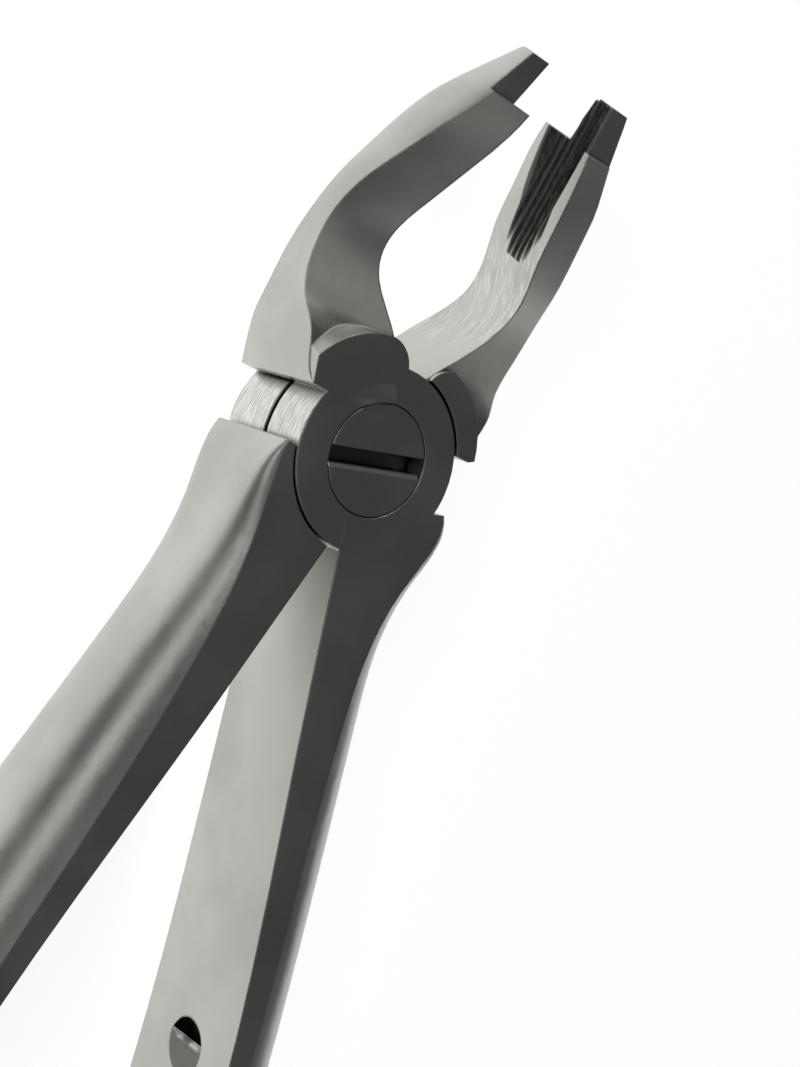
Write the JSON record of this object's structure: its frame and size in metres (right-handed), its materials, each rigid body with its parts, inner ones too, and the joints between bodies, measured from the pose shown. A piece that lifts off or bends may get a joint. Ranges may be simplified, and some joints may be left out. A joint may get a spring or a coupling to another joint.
{
  "type": "extraction forceps",
  "caption": "Hand forceps with two crossed steel halves on a slotted screw, upturned grooved beaks and long smooth handles.",
  "frame": {"origin": "on the pivot screw's axis, at the back face of the joint", "axes": "+Z along the screw towards its slotted head, +Y along the closed beaks, +X to the right with the screw head up"},
  "size_m": [0.0521, 0.1715, 0.0206],
  "materials": {
    "forged_steel": "satin bead-blasted",
    "screw_steel": "satin"
  },
  "bodies": {
    "rear": {"rear_half": "forged_steel", "joint_screw": "screw_steel"},
    "front": {"front_half": "forged_steel"}
  },
  "joints": [
    {"name": "jaw_pivot", "type": "hinge", "parent": "rear", "child": "front", "pos_m": [0, 0, 0.0052], "axis": [0, 0, 1], "range_deg": [-8.5, 28]}
  ]
}
